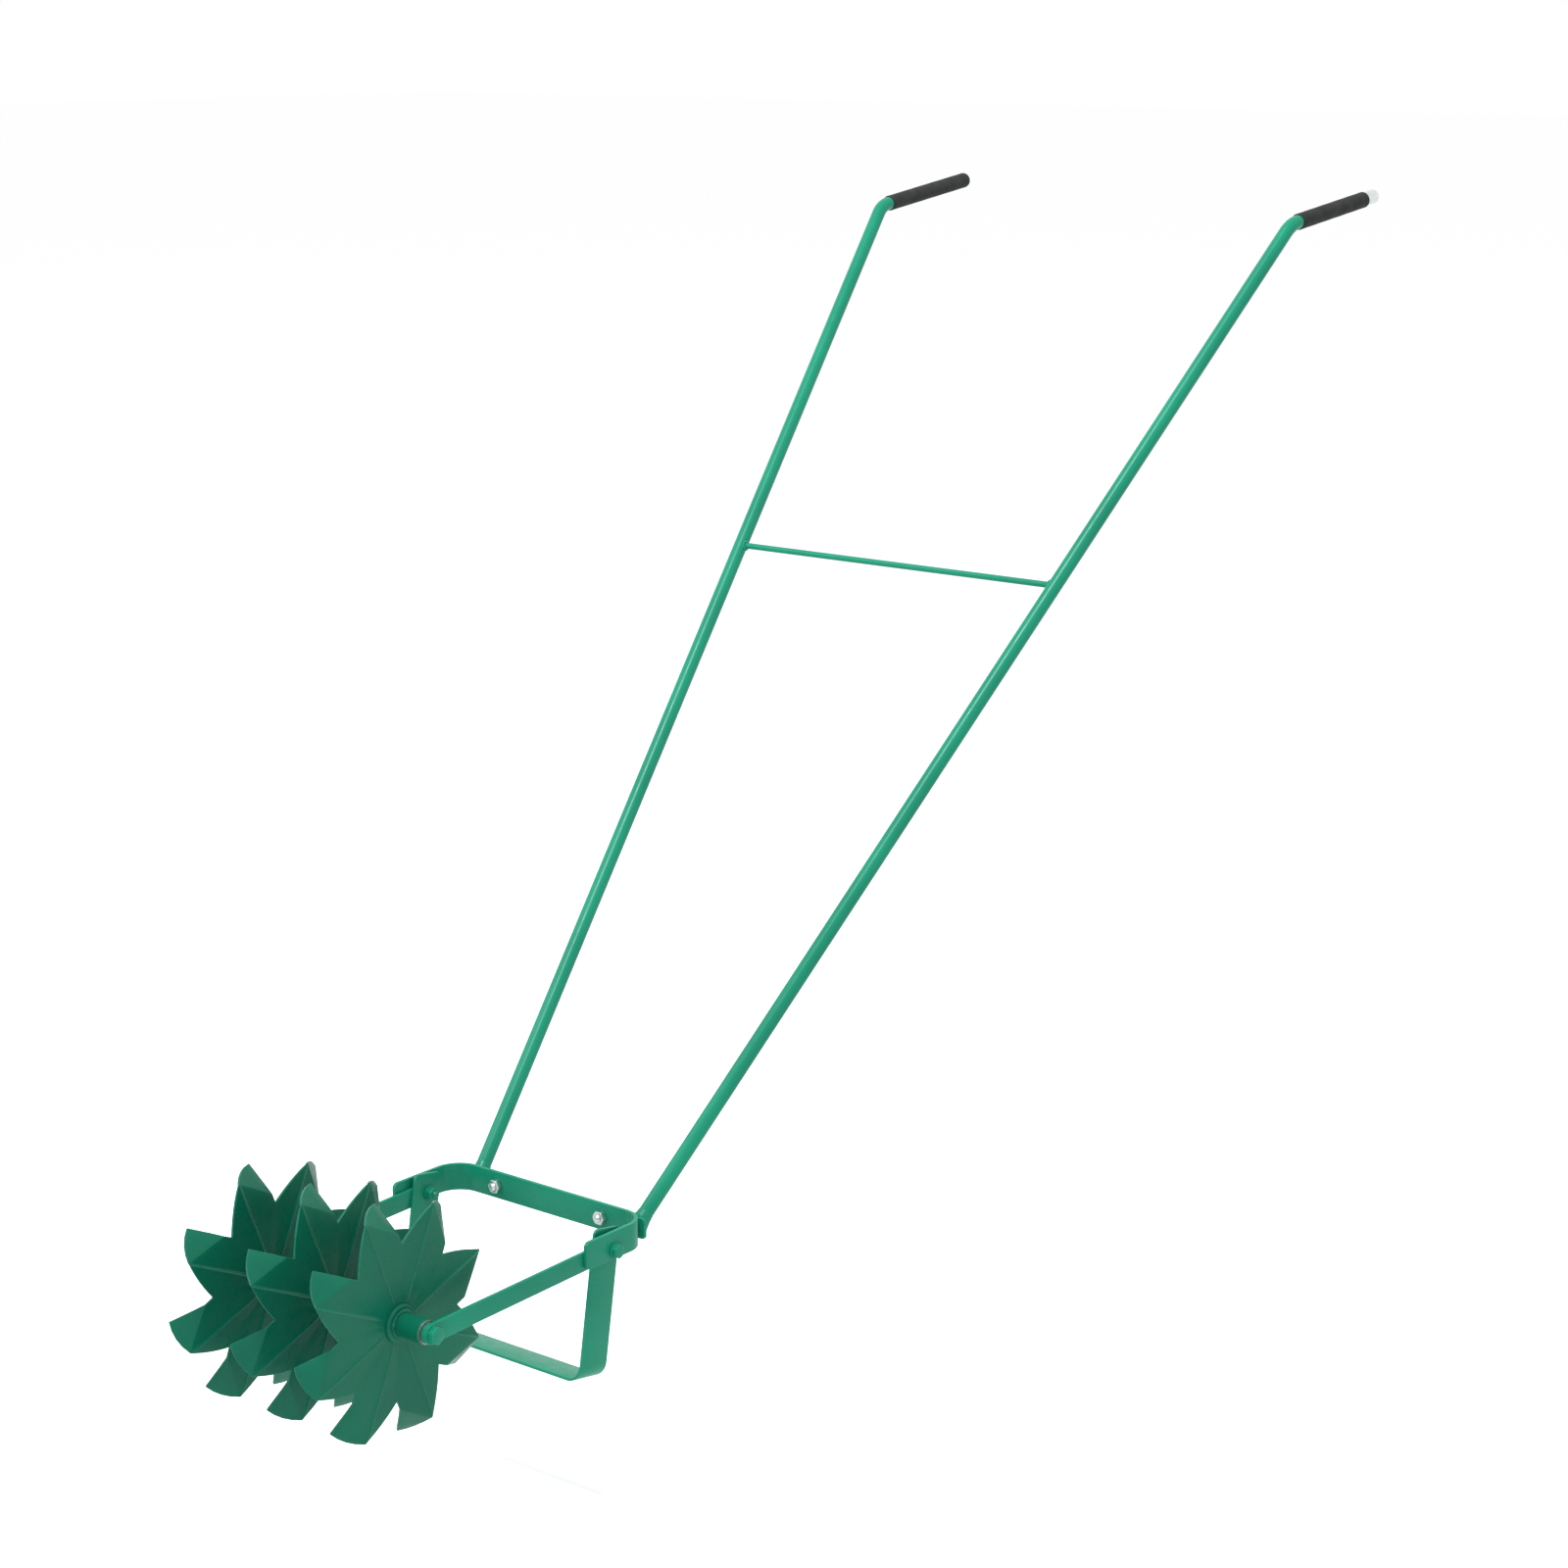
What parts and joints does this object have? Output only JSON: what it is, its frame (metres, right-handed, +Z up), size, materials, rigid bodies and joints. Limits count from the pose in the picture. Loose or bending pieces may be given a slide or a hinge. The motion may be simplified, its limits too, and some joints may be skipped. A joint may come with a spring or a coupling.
{
  "type": "rotary hand cultivator",
  "caption": "Push-type star-wheel cultivator: toothed wheels on an axle, a trailing stirrup blade, and two splayed tube handles with a cross rod and soft grips.",
  "frame": {"origin": "centre of the cross rod between the two handle tubes, where the tool is carried and hung up", "axes": "+Z up, X along the axle with +X on the user's left, -Y the direction of travel"},
  "size_m": [0.6067, 1.559, 1.1365],
  "materials": {
    "green_paint": "gloss green enamel",
    "grip_black": "matte black",
    "plated_steel": "bright plated",
    "plain_steel": "zinc grey"
  },
  "bodies": {
    "handle": {"u_bracket": "green_paint", "side_bolt_left": "green_paint", "side_bolt_right": "green_paint", "side_nut_left": "green_paint", "side_nut_right": "green_paint", "side_washers": "green_paint", "handle_strap": "green_paint", "strap_bolts": "plated_steel", "strap_nuts": "plated_steel", "handle_tube_left": "green_paint", "handle_tube_right": "green_paint", "tube_weld_left": "green_paint", "tube_weld_right": "green_paint", "cross_rod": "green_paint", "rod_weld_left": "green_paint", "rod_weld_right": "green_paint", "end_plug_left": "plated_steel", "end_plug_right": "plated_steel", "grip_left": "grip_black", "grip_right": "grip_black"},
    "front": {"front_arm_left": "green_paint", "front_arm_right": "green_paint", "axle_bolt": "green_paint", "axle_nut": "green_paint", "axle_washers": "green_paint"},
    "blade": {"stirrup_blade": "green_paint"},
    "rotor": {"star_wheel_left": "green_paint", "star_wheel_middle": "green_paint", "star_wheel_right": "green_paint", "hub_collar_left": "green_paint", "hub_collar_middle": "green_paint", "hub_collar_right": "green_paint", "hub_tube": "green_paint", "hub_bush_left": "plain_steel", "hub_bush_right": "plain_steel"}
  },
  "joints": [
    {"name": "arm_tilt", "type": "hinge", "parent": "handle", "child": "front", "pos_m": [0, -0.63703, -0.593], "axis": [1, 0, 0], "range_deg": [-25, 35]},
    {"name": "blade_tilt", "type": "hinge", "parent": "handle", "child": "blade", "pos_m": [0, -0.63703, -0.593], "axis": [1, 0, 0], "range_deg": [-30, 40]},
    {"name": "rotor_spin", "type": "hinge", "parent": "front", "child": "rotor", "pos_m": [0, -0.89103, -0.599], "axis": [1, 0, 0], "continuous": true}
  ]
}
